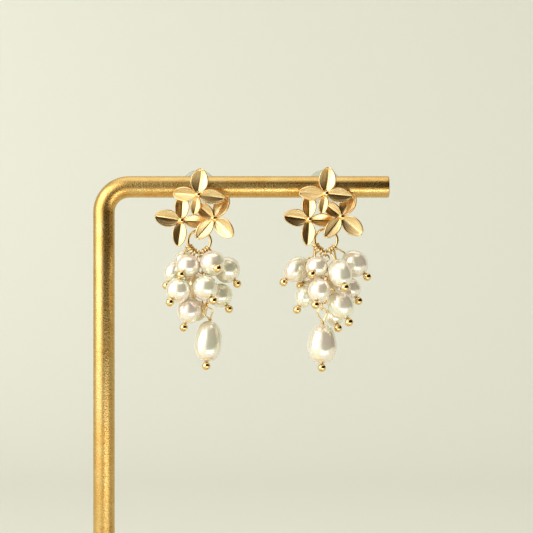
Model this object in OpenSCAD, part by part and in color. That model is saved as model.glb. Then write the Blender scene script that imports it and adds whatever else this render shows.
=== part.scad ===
// A pair of flower stud earrings with grape-like pearl drops, hanging on a gold display stand.
// Millimetres, +Z up. X runs across the stand, -Y faces the viewer, the origin is under the base.

/* [Stand] */
// Length of the base plate
base_l = 80; // [78:1:100]
// Width of the base plate
base_w = 44; // [36:1:60]
// Thickness of the base plate
base_t = 4; // [3:0.5:8]
// Corner radius of the base plate
base_corner = 8; // [2:1:14]
// Diameter of the round bar
bar_d = 5; // [4.6:0.1:5.4]
// Height of the arm's centre line above the table
arm_height = 110; // [100:1:130]
// Bend radius on the bar's centre line
bend_r = 6.1; // [4:0.1:9]
// Distance of the upright from the middle of the base, to the left
upright_off = 33.1; // [31:0.1:34]
// Reach of the arm from the upright's centre line to its end
arm_reach = 68.8; // [65:0.1:72]

/* [Flowers] */
// Thickness of a petal's metal
petal_t = 0.42; // [0.3:0.02:0.6]
// Depth of the valley along a petal, as a share of its half width
petal_fold = 0.5; // [0.3:0.05:0.8]
// Height of the raised rim round a petal
rim_h = 0.16; // [0.1:0.02:0.3]
// Width of the raised rim round a petal
rim_w = 0.3; // [0.2:0.05:0.45]
// Diameter of the ball in the middle of a flower
flower_ball_d = 1.5; // [1.2:0.1:1.9]
// Diameter of the ear post
post_d = 0.9; // [0.7:0.05:1]
// Length of the ear post behind the flower's shoulder
post_l = 10.6; // [9.5:0.1:12]
// Diameter of the clear ear back's disc
ear_back_d = 8.5; // [6:0.5:10]

/* [Drops] */
// Mean diameter of the jump ring
ring_d = 5.44; // [5.3:0.02:5.6]
// Wire diameter of the jump ring
ring_wire = 0.65; // [0.55:0.05:0.7]
// Wire diameter of the chain's links
link_wire = 0.36; // [0.3:0.02:0.4]
// Number of links in the chain, odd so that the last one is square to the eye under it
link_count = 11; // [11:2:13]
// Wire diameter of a head pin
pin_d = 0.45; // [0.35:0.05:0.5]
// Diameter of the ball at the end of a head pin
pin_ball_d = 2; // [1.5:0.1:2.2]
// Drill hole through a pearl
pearl_bore = 0.75; // [0.65:0.05:0.9]

/* [Hidden] */
$fn = 48;
gold = "#d9ae62";
satin_gold = "#e3bf80";
brushed_gold = "#cfa75c";
pearl_white = "#efe3d0";
clear_silicone = "#e6e8e2";

// Clearance between wires that hang in each other
hang_gap = 0.06;
// Clearance between neighbouring links
link_gap = 0.1;
// Clearance of the parts that sit on the bar
seat_gap = 0.05;
// Clearance between a pearl and the ball under it
bead_gap = 0.03;

// The loop at the top of a head pin, on the ring and on a link
ring_loop_r = 0.65;
link_loop_r = 0.5;
loop_wire = 0.36;
// Straight wire above a pearl before its first bend
pin_rise = 0.45;
// A bend of the wire is a little thicker than the wire
bend_swell = 1.2;

// The eyelet behind the flowers, which carries the jump ring
eyelet_r = 0.75;
eyelet_wire = 0.5;

// The drop hangs in a plane just behind the flowers
drop_y = -2.4;

ring_r = ring_d / 2;
hole_d = post_d + 0.2;

// Earrings: x of the ear post, drop of the top flower's ball below the arm, x and drop of the ring's
// centre, turn in the picture plane, turn about the vertical
POST_X = 0;
BALL_DOWN = 1;
RING_X = 2;
RING_DOWN = 3;
ROLL = 4;
YAW = 5;
LEFT = [-10.3, 2.1, -10.0, 13.2, 0, 0];
RIGHT = [20.2, 1.6, 20.4, 12.9, 1.6, 11];

// Flowers: x, y and z of the ball from the top flower's ball
FLOWER_AT = [
    [0, 0, 0],
    [-4.0, 1.0, -6.1],
    [4.1, 0.5, -5.6],
];
// Petals: flower, direction in the picture plane, length, width, tilt of the tip towards the viewer, roll
PETAL_FLOWER = 0;
PETAL_TURN = 1;
PETAL_L = 2;
PETAL_W = 3;
PETAL_TILT = 4;
PETAL_ROLL = 5;
PETALS = [
    [0, 83.6, 6.5, 4.3, 8, 0],
    [0, 175.4, 6.4, 3.6, 8, 12],
    [0, -7.8, 6.5, 3.7, 8, -8],
    [0, 258.3, 6.2, 2.5, -43, 0],
    [1, 87.1, 6.2, 3.6, -2, 0],
    [1, 170.7, 6.5, 4.2, 10, 0],
    [1, 263, 6.3, 3.5, 12, 0],
    [1, -3.8, 6.2, 3.3, -4, 0],
    [2, 229.2, 6.4, 3.5, 10, 0],
    [2, -43, 6.7, 4.2, 14, 0],
    [2, 58.2, 6.4, 4.0, -4, -28],
    [2, 140.2, 5.6, 3.4, -26, 0],
];
// Places where two petals cross and are soldered: x, y and z from the top flower's ball
SOLDER = [
    [-3.9, 0.55, -0.6],
    [5.7, 0.3, -1.0],
    [1.9, 0.9, -6.9],
];
solder_d = 0.9;
// The ball sits in front of a hub that joins the four petals
ball_forward = 0.45;
hub_d = 1.16;
hub_depth = 0.5;

// Pearls: place across, depth (+ is away from the viewer) and height of the centre, from the ring's centre,
// radius, half length along the drill hole, ball's place across and height from the pearl's centre,
// carrier (0 is the ring, otherwise a link of the chain), place on the carrier in degrees from its lowest
// point, and a bend of the wire on its way up: across, depth and height
PX = 0;
PY = 1;
PZ = 2;
PR = 3;
PH = 4;
BALL_X = 5;
BALL_Z = 6;
CARRIER = 7;
PLACE = 8;
BEND_X = 9;
BEND_Y = 10;
BEND_Z = 11;
LEFT_PEARLS = [
    [-2.7, -2.6, -5.95, 2.88, 2.88, -1.58, -1.99, 0, -22, -1.4, -0.05, -3.8],
    [3.2, -2.9, -5.2, 3.02, 3.02, 1.27, -1.27, 0, 22, 1.7, 0.2, -3.8],
    [6.6, 3.0, -6.8, 3.2, 3.2, 2.45, -3.38, 0, 52, 3.4, 2.2, -2.9],
    [-6.3, 1.4, -7.3, 2.2, 2.7, -1.65, -3.3, 0, -67, -4.0, 1.4, -3.6],
    [-4.0, 5.0, -4.5, 2.4, 2.4, -1.25, -3.15, 0, -52, -2.7, 2.8, -1.9],
    [-4.9, -4.2, -11.7, 3.0, 3.0, -1.9, -2.81, 0, -37, -3.0, 1.0, -8.2],
    [1.5, -4.5, -11.1, 3.0, 3.0, 1.97, -3.0, 6, -80, -0.2, -2.0, -8.6],
    [5.0, 3.2, -13.0, 2.95, 2.95, 2.06, -3.26, 0, 37, 2.4, 2.8, -7.6],
    [-2.4, -1.5, -16.5, 2.85, 3.3, -1.3, -4.1, 8, -80, -0.7, -1.0, -12.1],
    [-0.9, 4.0, -16.7, 2.6, 2.6, -3.2, -0.9, 8, 80, 1.8, 2.6, -13.6],
    [-1.2, 4.5, -10.6, 3.0, 3.0, -3.1, -2.5, 4, 80, 1.3, 2.0, -7.0],
];
LEFT_LONG = [2.1, 0, -24.0, 3.3, 4.95, -0.43, -5.85, 0, 0, 1.8, 0, -16.0];
RIGHT_PEARLS = [
    [-2.25, -3.1, -6.5, 2.65, 2.65, -1.32, -1.63, 0, -22, -1.4, -0.4, -4.3],
    [3.2, -4.6, -7.9, 2.88, 4.0, 1.08, -3.38, 0, 22, 1.7, -0.8, -4.0],
    [7.0, 3.5, -5.6, 3.2, 3.5, 3.0, -3.2, 0, 52, 3.3, 2.8, -2.2],
    [-7.1, 2.5, -7.0, 2.85, 3.5, -3.1, -3.1, 0, -37, -3.2, 2.6, -4.2],
    [-4.0, 6.2, -9.0, 2.2, 2.2, -2.1, -1.9, 0, -67, -2.9, 4.9, -4.6],
    [-1.7, -5.7, -12.0, 2.7, 2.9, -1.0, -3.4, 0, -52, -2.6, 0.4, -9.6],
    [-5.0, 2.0, -13.6, 2.4, 2.75, -1.94, -3.1, 6, -80, -2.0, 2.0, -10.1],
    [6.0, 2.5, -11.6, 2.5, 2.6, 1.87, -3.0, 0, 37, 3.2, 2.4, -7.4],
    [3.5, -2.2, -15.5, 3.15, 3.6, 1.92, -4.1, 8, 80, 1.2, -0.9, -11.5],
    [2.1, 3.5, -18.4, 2.4, 2.4, 0.84, -2.74, 10, 80, 0.5, 3.0, -14.9],
    [1.0, 5.0, -10.3, 2.7, 2.7, -2.6, -2.6, 4, 80, 1.8, 2.6, -6.6],
];
RIGHT_LONG = [-0.9, 0, -24.9, 3.55, 4.7, -0.1, -5.7, 0, 0, -1.0, 0, -16.3];

SIDES = ["left", "right"];
PEARL_NUMBERS = [1 : len(LEFT_PEARLS)];
ONE_OF_EACH = ["flower", "ear_back", "jump_ring", "chain", "pearl_long", "headpin_long"];

// Vectors
function unit(v) = v / norm(v);
function square_to(v, axis) = v - (v * axis) * axis;

// A pearl's centre, the way its pin points, and the two ends of the straight part of the pin
function pearl_at(row) = [row[PX], row[PY], row[PZ]];
function ball_reach(row) = row[PH] + pin_ball_d / 2 + bead_gap;
function pin_way(row) =
    let (out = pow(ball_reach(row), 2) - pow(row[BALL_X], 2) - pow(row[BALL_Z], 2))
    unit([row[BALL_X], -sqrt(max(out, 0)), row[BALL_Z]]);
function ball_at(row) = pearl_at(row) + ball_reach(row) * pin_way(row);
function pin_top(row) = pearl_at(row) - (row[PH] + pin_rise) * pin_way(row);
function pin_bend(row) = [row[BEND_X], row[BEND_Y], row[BEND_Z]];

// The chain runs straight from the ring's lowest point to the eye of the long pearl's pin
function chain_top() = [0, 0, -ring_r];
function chain_run(long_row) = pin_bend(long_row) - chain_top();
function first_sag(r) = r - link_wire / 2 - ring_wire / 2 - hang_gap;
function last_sag(r) = r - link_wire / 2 - loop_wire / 2 - hang_gap;
// Links are round; their radius follows from the length that they span
function link_r(long_row) =
    (norm(chain_run(long_row)) + (link_count - 1) * (link_wire + link_gap)
        + link_wire + ring_wire / 2 + loop_wire / 2 + 2 * hang_gap) / (2 * link_count);
function link_pitch(long_row) = 2 * link_r(long_row) - link_wire - link_gap;
function link_at(long_row, n) =
    chain_top()
        + unit(chain_run(long_row)) * (first_sag(link_r(long_row)) + (n - 1) * link_pitch(long_row));

// The ring or link that a head pin's loop hangs on: centre, radius and wire
function carrier_at(row, long_row) = row[CARRIER] == 0 ? [0, 0, 0] : link_at(long_row, row[CARRIER]);
function carrier_r(row, long_row) = row[CARRIER] == 0 ? ring_r : link_r(long_row);
function carrier_wire(row) = row[CARRIER] == 0 ? ring_wire : link_wire;
function hang_point(row, long_row) =
    carrier_at(row, long_row) + carrier_r(row, long_row) * [sin(row[PLACE]), 0, -cos(row[PLACE])];
function hang_axis(row) = [cos(row[PLACE]), 0, sin(row[PLACE])];
function hang_way(row, long_row) =
    unit(square_to(pin_bend(row) - hang_point(row, long_row), hang_axis(row)));
function loop_r(row) = row[CARRIER] == 0 ? ring_loop_r : link_loop_r;
function loop_at(row, long_row) =
    hang_point(row, long_row)
        + (loop_r(row) - loop_wire / 2 - carrier_wire(row) / 2 - hang_gap) * hang_way(row, long_row);
function loop_foot(row, long_row) = loop_at(row, long_row) + loop_r(row) * hang_way(row, long_row);

// A straight wire between two points
module wire(a, b, d) {
    run = b - a;
    translate(a)
        rotate([0, acos(run.z / norm(run)), atan2(run.y, run.x)])
            cylinder(d = d, h = norm(run));
}

// Turns its children so that +Z points along pole and +X along seam, which is square to it
module turned(pole, seam) {
    z = unit(pole);
    x = unit(square_to(seam, z));
    y = cross(z, x);
    multmatrix([
        [x.x, y.x, z.x, 0],
        [x.y, y.y, z.y, 0],
        [x.z, y.z, z.z, 0],
        [0, 0, 0, 1],
    ])
        children();
}

// A ball at a bend of a wire, turned so that the wires to a and b leave its smooth side
module bend_ball(at, a, b, d) {
    to_a = unit(a - at);
    pole = unit(cross(to_a, unit(b - at) + [0.001, 0.002, 0]));
    translate(at)
        turned(pole, cross(to_a, pole))
            sphere(d = d);
}

// A round ring whose axis points along way; its seam is at start
module wire_ring(r, d, way, start) {
    turned(way, start)
        rotate_extrude()
            translate([r, 0])
                rotate(180)
                    circle(d = d);
}

// Stand
module stand_base() {
    inset = base_corner;
    color(brushed_gold)
        difference() {
            linear_extrude(base_t)
                union() {
                    square([base_l - 2 * inset, base_w], center = true);
                    square([base_l, base_w - 2 * inset], center = true);
                    for (x = [-1, 1], y = [-1, 1])
                        translate([x * (base_l / 2 - inset), y * (base_w / 2 - inset)])
                            circle(r = inset);
                }
            translate([-upright_off, 0, base_t / 2])
                cylinder(d = bar_d + 2 * seat_gap, h = base_t);
        }
}

module stand_tube() {
    foot_z = base_t / 2 + seat_gap;
    color(brushed_gold)
        difference() {
            union() {
                translate([-upright_off, 0, foot_z])
                    cylinder(d = bar_d, h = arm_height - bend_r - foot_z);
                translate([bend_r - upright_off, 0, arm_height - bend_r])
                    rotate([90, 0, 0])
                        rotate([0, 0, 90])
                            rotate_extrude(angle = 90)
                                translate([bend_r, 0])
                                    circle(d = bar_d);
                translate([bend_r - upright_off, 0, arm_height])
                    rotate([0, 90, 0])
                        cylinder(d = bar_d, h = arm_reach - bend_r);
            }
            for (e = [LEFT, RIGHT])
                translate([e[POST_X], 0, arm_height])
                    rotate([90, 0, 0])
                        cylinder(d = hole_d, h = 2 * bar_d, center = true);
        }
}

// A petal runs along +X with its front towards -Y; it is a valley with a raised rim.
// Its sections start and end a little inside its length, and its middle sags by a share of the length.
petal_from = 0.055;
petal_to = 0.985;
petal_steps = 8;
petal_sag = 0.05;
function petal_half(t, w) = w / 2 * pow(sin(180 * pow(t, 1.06)), 0.72);
function petal_mid(t, l) = -petal_sag * l * sin(180 * t);
function valley(s, half) = petal_fold * half * pow(abs(s), 1.3);
// One cross-section: across the front from rim to rim, then back along the rear
function petal_ring(t, l, w) =
    let (half = petal_half(t, w),
         rim = min(rim_w / half, 0.45),
         up = rim_h * min(1, half / rim_w / 2),
         front = [[-1, up], [rim - 1, up], [rim - 0.95, 0], [0, 0], [0.95 - rim, 0], [1 - rim, up], [1, up]],
         back = [[1, -petal_t], [0, -petal_t], [-1, -petal_t]])
    [for (p = concat(front, back)) [l * t, -(petal_mid(t, l) + valley(p[0], half) + p[1]), half * p[0]]];

module petal(l, w) {
    per_ring = 10;
    points = [for (i = [0 : petal_steps])
        each petal_ring(petal_from + (petal_to - petal_from) * i / petal_steps, l, w)];
    sides = [for (i = [0 : petal_steps - 1], j = [0 : per_ring - 1])
        let (k = (j + 1) % per_ring)
        [i * per_ring + j, i * per_ring + k, (i + 1) * per_ring + k, (i + 1) * per_ring + j]];
    root_cap = [for (j = [per_ring - 1 : -1 : 0]) j];
    tip_cap = [for (j = [0 : per_ring - 1]) petal_steps * per_ring + j];
    polyhedron(points = points, faces = concat(sides, [root_cap, tip_cap]), convexity = 4);
}

// The three flowers, soldered where their petals cross, with a ball in the middle of each
module flower_head() {
    for (row = PETALS)
        translate(FLOWER_AT[row[PETAL_FLOWER]])
            rotate([0, -row[PETAL_TURN], 0])
                rotate([0, 0, -row[PETAL_TILT]])
                    rotate([row[PETAL_ROLL], 0, 0])
                        petal(row[PETAL_L], row[PETAL_W]);
    for (at = FLOWER_AT)
        translate(at) {
            translate([0, -ball_forward, 0])
                sphere(d = flower_ball_d, $fn = 16);
            hull()
                for (y = [0, hub_depth])
                    translate([0, y, 0])
                        sphere(d = hub_d, $fn = 12);
        }
    for (at = SOLDER)
        hull()
            for (y = [-0.2, 0.2])
                translate(at + [0, y, 0])
                    sphere(d = solder_d, $fn = 10);
}

// The casting with its ear post and eyelet, all one soldered piece
module flower(e) {
    post_z = arm_height;
    ball = [e[POST_X], -4.9, arm_height - e[BALL_DOWN]];
    shoulder_y = -bar_d / 2 - seat_gap;
    eyelet = [e[RING_X], drop_y, arm_height - e[RING_DOWN] + ring_r + eyelet_r - eyelet_wire / 2
        - ring_wire / 2 - hang_gap - eyelet_wire / 2];
    color(satin_gold) {
        translate(ball)
            rotate([0, -e[ROLL], 0])
                rotate([0, 0, e[YAW]])
                    flower_head();
        hull() {
            translate([e[POST_X], shoulder_y - 0.4, post_z])
                rotate([-90, 0, 0])
                    cylinder(d = 2.2, h = 0.4, $fn = 16);
            translate(ball + [0, 0.5, 0.6])
                sphere(d = 1.4, $fn = 12);
        }
        hull()
            for (y = [shoulder_y - 0.3, shoulder_y + post_l])
                translate([e[POST_X], y, post_z])
                    sphere(d = post_d, $fn = 16);
        translate(eyelet)
            rotate([0, 90, 0])
                rotate_extrude($fn = 16)
                    translate([eyelet_r, 0])
                        circle(d = eyelet_wire, $fn = 8);
        hull()
            for (at = [eyelet + [0, -eyelet_r, 0.2], ball + SOLDER[2] + [0, 0.1, 0]])
                translate(at)
                    sphere(d = eyelet_wire, $fn = 8);
    }
}

// Clear push-on ear back: a disc against the bar and a short barrel on the post
module ear_back(e) {
    disc_t = 1.2;
    barrel_d = 3.6;
    barrel_l = 4.2;
    color(clear_silicone, 0.6)
        translate([e[POST_X], bar_d / 2 + seat_gap, arm_height])
            rotate([-90, 0, 0])
                difference() {
                    union() {
                        cylinder(d = ear_back_d, h = disc_t);
                        cylinder(d = barrel_d, h = barrel_l);
                    }
                    translate([0, 0, -1])
                        cylinder(d = post_d + 2 * seat_gap, h = barrel_l + 2);
                }
}

module jump_ring() {
    color(gold)
        wire_ring(ring_r, ring_wire, [0, 1, 0], [0, 0, 1]);
}

module chain(long_row) {
    along = unit(chain_run(long_row));
    flat_to_side = [1, 0, -along.x / along.z];
    flat_to_front = [0, 1, -along.y / along.z];
    color(gold)
        for (n = [1 : link_count])
            translate(link_at(long_row, n))
                wire_ring(link_r(long_row), link_wire, n % 2 == 1 ? flat_to_side : flat_to_front, along);
}

// A pearl is a drilled body of revolution about its hole, wider below by the share in taper
module pearl(row, taper) {
    step = 10;
    edge = asin(pearl_bore / 2 / row[PR]);
    outline = [for (i = [0 : 180 / step])
        let (a = edge + (180 - 2 * edge) * i * step / 180)
        [row[PR] * sin(a) * (1 - taper * cos(a)), row[PH] * cos(a)]];
    bored = concat(
        [[pearl_bore / 2, outline[0].y]],
        [for (i = [1 : len(outline) - 2]) outline[i]],
        [[pearl_bore / 2, outline[len(outline) - 1].y]]
    );
    way = -pin_way(row);
    color(pearl_white)
        translate(pearl_at(row))
            rotate([0, acos(way.z), atan2(way.y, way.x)])
                rotate_extrude()
                    polygon(bored);
}

// The ball and the straight part of a head pin, turned about the pin: one body of revolution
module pin_shank(row, top) {
    way = pin_way(row);
    reach = norm(ball_at(row) - pin_top(row));
    translate(ball_at(row))
        turned(-way, cross(way, cross(way, top - pin_top(row))))
            rotate_extrude()
                union() {
                    intersection() {
                        circle(d = pin_ball_d);
                        translate([0, -pin_ball_d])
                            square(2 * pin_ball_d);
                    }
                    square([pin_d / 2, reach]);
                }
}

// A head pin: ball, straight wire through the pearl, a bend, and a closed loop on its carrier
module headpin(row, long_row) {
    top = pin_top(row);
    bend = pin_bend(row);
    foot = loop_foot(row, long_row);
    color(gold)
        union() {
            pin_shank(row, bend);
            bend_ball(top, ball_at(row), bend, pin_d * bend_swell);
            wire(top, bend, pin_d);
            bend_ball(bend, top, foot, pin_d * bend_swell);
            wire(bend, foot, pin_d);
            translate(loop_at(row, long_row))
                wire_ring(loop_r(row), loop_wire, hang_axis(row), -hang_way(row, long_row));
        }
}

// The long pearl's pin ends in a teardrop eye: a round top and two straight legs
module headpin_long(row) {
    eye_r = 1.1;
    knot_swell = 1.5;
    knot = pin_top(row);
    top = pin_bend(row);
    down = unit(knot - top);
    eye = top + eye_r * down;
    across = unit(cross(down, [0, 1, 0]));
    lean = asin(eye_r / norm(knot - eye));
    color(gold)
        union() {
            pin_shank(row, top + [0, 1, 0]);
            translate(knot)
                turned(cross(down, across), across)
                    sphere(d = pin_d * knot_swell);
            translate(eye)
                turned(cross(down, across), cos(lean) * across + sin(lean) * down)
                    rotate_extrude(angle = 180 + 2 * lean)
                        translate([eye_r, 0])
                            circle(d = loop_wire);
            for (side = [-1, 1])
                let (foot = eye + eye_r * (cos(lean) * side * across + sin(lean) * down)) {
                    wire(knot, foot, loop_wire);
                    bend_ball(foot, knot, foot - side * across - down, loop_wire * bend_swell);
                }
        }
}

// Everything that hangs is drawn from its ring's centre
module hung(e) {
    translate([e[RING_X], drop_y, arm_height - e[RING_DOWN]])
        children();
}

stand_base();
stand_tube();
flower(LEFT);  // flower_left
flower(RIGHT);  // flower_right
ear_back(LEFT);  // ear_back_left
ear_back(RIGHT);  // ear_back_right
hung(LEFT) jump_ring();  // jump_ring_left
hung(RIGHT) jump_ring();  // jump_ring_right
hung(LEFT) chain(LEFT_LONG);  // chain_left
hung(RIGHT) chain(RIGHT_LONG);  // chain_right
hung(LEFT) pearl(LEFT_LONG, 0.12);  // pearl_long_left
hung(RIGHT) pearl(RIGHT_LONG, 0.14);  // pearl_long_right
hung(LEFT) headpin_long(LEFT_LONG);  // headpin_long_left
hung(RIGHT) headpin_long(RIGHT_LONG);  // headpin_long_right
for (n = PEARL_NUMBERS) {
    hung(LEFT) pearl(LEFT_PEARLS[n - 1], 0);
    hung(RIGHT) pearl(RIGHT_PEARLS[n - 1], 0);
    hung(LEFT) headpin(LEFT_PEARLS[n - 1], LEFT_LONG);
    hung(RIGHT) headpin(RIGHT_PEARLS[n - 1], RIGHT_LONG);
}
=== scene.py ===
from collections import namedtuple
from math import acos, asin, atan2, cos, degrees, pi, radians, sin, sqrt

import bmesh
import bpy
from mathutils import Matrix, Vector


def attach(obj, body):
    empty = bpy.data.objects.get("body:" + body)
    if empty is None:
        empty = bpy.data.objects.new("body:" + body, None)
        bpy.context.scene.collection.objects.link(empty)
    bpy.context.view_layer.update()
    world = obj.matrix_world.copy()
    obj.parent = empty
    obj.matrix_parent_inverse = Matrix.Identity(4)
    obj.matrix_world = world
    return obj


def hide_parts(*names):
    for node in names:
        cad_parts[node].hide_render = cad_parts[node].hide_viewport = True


# A pair of flower stud earrings with grape-like pearl drops on a gold display stand.
# The pieces' numbers are millimetres, as in the CAD source; the sweep's and the lights' are metres.
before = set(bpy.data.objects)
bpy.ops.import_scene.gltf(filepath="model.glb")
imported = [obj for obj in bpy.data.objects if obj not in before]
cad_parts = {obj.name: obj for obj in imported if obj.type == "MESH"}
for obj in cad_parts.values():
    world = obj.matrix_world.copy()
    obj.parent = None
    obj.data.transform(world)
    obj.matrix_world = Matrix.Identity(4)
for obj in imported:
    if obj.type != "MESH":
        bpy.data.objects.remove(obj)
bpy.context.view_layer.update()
mm = 0.001
scene = bpy.context.scene


def hexColour(text):
    def linear(c):
        return c / 12.92 if c <= 0.04045 else ((c + 0.055) / 1.055) ** 2.4
    return tuple(linear(int(text[i:i + 2], 16) / 255) for i in (1, 3, 5)) + (1.0,)


# Adds a node; a value that is a node is linked from its first output, a socket is linked as it is
def addNode(tree, kind, inputs=None, **settings):
    node = tree.nodes.new(kind)
    for name, value in settings.items():
        setattr(node, name, value)
    for key, value in (inputs or {}).items():
        if isinstance(value, bpy.types.Node):
            value = value.outputs[0]
        if isinstance(value, bpy.types.NodeSocket):
            tree.links.new(value, node.inputs[key])
        else:
            node.inputs[key].default_value = value
    return node


def placed(name, data):
    thing = bpy.data.objects.new(name, data)
    scene.collection.objects.link(thing)
    return thing


print("materials")


def startMaterial(name):
    material = bpy.data.materials.new(name)
    material.use_nodes = True
    tree = material.node_tree
    tree.nodes.clear()
    return material, tree


def finishMaterial(tree, shader):
    addNode(tree, "ShaderNodeOutputMaterial", {"Surface": shader})


# Steel tube, bead-blasted and then electroplated in pale gold: a soft metal glow that breaks up into a fine
# dark and light grain. The grain is drawn about twice as coarse as real blasting, so that it shows.
blastedGold = dict(colour="#e2c183", worn="#dcb470", roughness=0.27, grain=0.34, relief=0.05, patches=5)


def makeBlastedGold(finish):
    material, tree = startMaterial("blasted gold-plated steel")
    place = addNode(tree, "ShaderNodeTexCoord")
    grain = addNode(tree, "ShaderNodeTexNoise", {
        "Vector": place.outputs["Object"], "Scale": 1 / (finish["grain"] * mm),
        "Detail": 2.0, "Roughness": 0.6})
    patches = addNode(tree, "ShaderNodeTexNoise", {
        "Vector": place.outputs["Object"], "Scale": 1 / (finish["patches"] * mm), "Detail": 2.0})
    tone = addNode(tree, "ShaderNodeMapRange", {"Value": patches, "From Min": 0.35, "From Max": 0.65})
    colour = addNode(tree, "ShaderNodeMix", {
        "Factor": tone, "A": hexColour(finish["colour"]), "B": hexColour(finish["worn"])}, data_type="RGBA")
    # the bottom of each pit is painted darker: painted shade in the pits
    pitShade = addNode(tree, "ShaderNodeMapRange", {
        "Value": grain, "From Min": 0.3, "From Max": 0.5, "To Min": 0.75, "To Max": 1.0})
    shaded = addNode(tree, "ShaderNodeVectorMath", {0: colour.outputs[2], "Scale": pitShade}, operation="SCALE")
    polish = addNode(tree, "ShaderNodeMapRange", {
        "Value": grain, "From Min": 0.3, "From Max": 0.7,
        "To Min": finish["roughness"] + 0.08, "To Max": finish["roughness"] - 0.04})
    bump = addNode(tree, "ShaderNodeBump", {
        "Height": grain, "Strength": 1.0, "Distance": finish["relief"] * mm})
    shader = addNode(tree, "ShaderNodeBsdfPrincipled", {
        "Base Color": shaded, "Metallic": 1.0, "Roughness": polish, "Normal": bump})
    finishMaterial(tree, shader)
    return material


# Cast brass, satin brushed lengthwise along each petal, pale gold plate under a thin clear lacquer: broad
# soft lights with faint lengthwise streaks, drawn coarser than real brushing, so that they show. The valley
# colour of the low streaks is painted shade in the brushing grooves.
satinGold = dict(colour="#f5dcac", valley="#e2b777", roughness=0.28, streaks=5, length=1.3, relief=0.05,
                 grain=0.2, coat=0.4, coatRoughness=0.3)


def makeSatinGold(finish):
    material, tree = startMaterial("satin cast gold-plated brass")
    petal = addNode(tree, "ShaderNodeAttribute", attribute_name="petalUv")
    stretched = addNode(tree, "ShaderNodeVectorMath", {
        0: petal.outputs["Vector"], 1: (finish["length"], finish["streaks"], 1.0)}, operation="MULTIPLY")
    streaks = addNode(tree, "ShaderNodeTexNoise", {
        "Vector": stretched, "Scale": 1.0, "Detail": 3.0, "Roughness": 0.6})
    place = addNode(tree, "ShaderNodeTexCoord")
    grain = addNode(tree, "ShaderNodeTexNoise", {
        "Vector": place.outputs["Object"], "Scale": 1 / (finish["grain"] * mm), "Detail": 2.0})
    height = addNode(tree, "ShaderNodeMath", {0: grain, 1: 0.35, 2: streaks}, operation="MULTIPLY_ADD")
    # the low streaks take the darker valley colour: painted shade in the brushing grooves
    tone = addNode(tree, "ShaderNodeMapRange", {"Value": streaks, "From Min": 0.3, "From Max": 0.6})
    colour = addNode(tree, "ShaderNodeMix", {
        "Factor": tone, "A": hexColour(finish["valley"]),
        "B": hexColour(finish["colour"])}, data_type="RGBA")
    polish = addNode(tree, "ShaderNodeMapRange", {
        "Value": streaks, "From Min": 0.3, "From Max": 0.7,
        "To Min": finish["roughness"] + 0.06, "To Max": finish["roughness"] - 0.05})
    bump = addNode(tree, "ShaderNodeBump", {
        "Height": height, "Strength": 1.0, "Distance": finish["relief"] * mm})
    shader = addNode(tree, "ShaderNodeBsdfPrincipled", {
        "Base Color": colour.outputs[2], "Metallic": 1.0, "Roughness": polish, "Normal": bump,
        "Coat Weight": finish["coat"], "Coat Roughness": finish["coatRoughness"]})
    finishMaterial(tree, shader)
    return material


# Gold-plated brass wire and balls, tumble polished: mirror-like with the faintest drawing marks
polishedGold = dict(colour="#f3d6a0", roughness=0.07, marks=0.5, relief=0.008)


def makePolishedGold(finish):
    material, tree = startMaterial("polished gold-plated wire")
    place = addNode(tree, "ShaderNodeTexCoord")
    marks = addNode(tree, "ShaderNodeTexNoise", {
        "Vector": place.outputs["Object"], "Scale": 1 / (finish["marks"] * mm), "Detail": 2.0})
    polish = addNode(tree, "ShaderNodeMapRange", {
        "Value": marks, "To Min": finish["roughness"] - 0.03, "To Max": finish["roughness"] + 0.05})
    bump = addNode(tree, "ShaderNodeBump", {
        "Height": marks, "Strength": 0.5, "Distance": finish["relief"] * mm})
    shader = addNode(tree, "ShaderNodeBsdfPrincipled", {
        "Base Color": hexColour(finish["colour"]), "Metallic": 1.0, "Roughness": polish, "Normal": bump})
    finishMaterial(tree, shader)
    return material


# Freshwater pearl nacre, grown and polished: creamy white, a soft mirror under a bright clear skin, with a
# faint breath of rose and green. The pearls in the heart of a drop are painted a slightly deeper cream:
# painted shade for the warm shade between the pearls.
nacre = dict(name="white freshwater pearl nacre", body="#f6eedc", rose="#f7e9db", green="#f0edd8",
             roughness=0.19, metal=0.42, clouds=7, growth=1.4, relief=0.05, glow=0.2, glowDepth=1.0,
             coatRoughness=0.18, coatIor=2.3)
shadedNacre = dict(nacre, name="shade-painted cream freshwater pearl nacre", body="#efd7ac", rose="#efd4ac",
                 green="#edd9ae", roughness=0.2, metal=0.3)


def makeNacre(finish):
    material, tree = startMaterial(finish["name"])
    place = addNode(tree, "ShaderNodeTexCoord")
    clouds = addNode(tree, "ShaderNodeTexNoise", {
        "Vector": place.outputs["Object"], "Scale": 1 / (finish["clouds"] * mm), "Detail": 1.0})
    tint = addNode(tree, "ShaderNodeValToRGB", {"Fac": clouds})
    ramp = tint.color_ramp
    ramp.elements[0].position, ramp.elements[0].color = 0.36, hexColour(finish["green"])
    ramp.elements[1].position, ramp.elements[1].color = 0.66, hexColour(finish["rose"])
    ramp.elements.new(0.5).color = hexColour(finish["body"])
    growth = addNode(tree, "ShaderNodeTexNoise", {
        "Vector": place.outputs["Object"], "Scale": 1 / (finish["growth"] * mm),
        "Detail": 3.0, "Roughness": 0.5})
    polish = addNode(tree, "ShaderNodeMapRange", {
        "Value": growth, "To Min": finish["roughness"] - 0.05, "To Max": finish["roughness"] + 0.07})
    bump = addNode(tree, "ShaderNodeBump", {
        "Height": growth, "Strength": 0.6, "Distance": finish["relief"] * mm})
    shader = addNode(tree, "ShaderNodeBsdfPrincipled", {
        "Base Color": tint, "Metallic": finish["metal"], "Roughness": polish, "Normal": bump,
        "Subsurface Weight": finish["glow"], "Subsurface Radius": (1.0, 0.6, 0.3),
        "Subsurface Scale": finish["glowDepth"] * mm, "Coat Weight": 1.0,
        "Coat Roughness": finish["coatRoughness"], "Coat IOR": finish["coatIor"]})
    finishMaterial(tree, shader)
    return material


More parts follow.
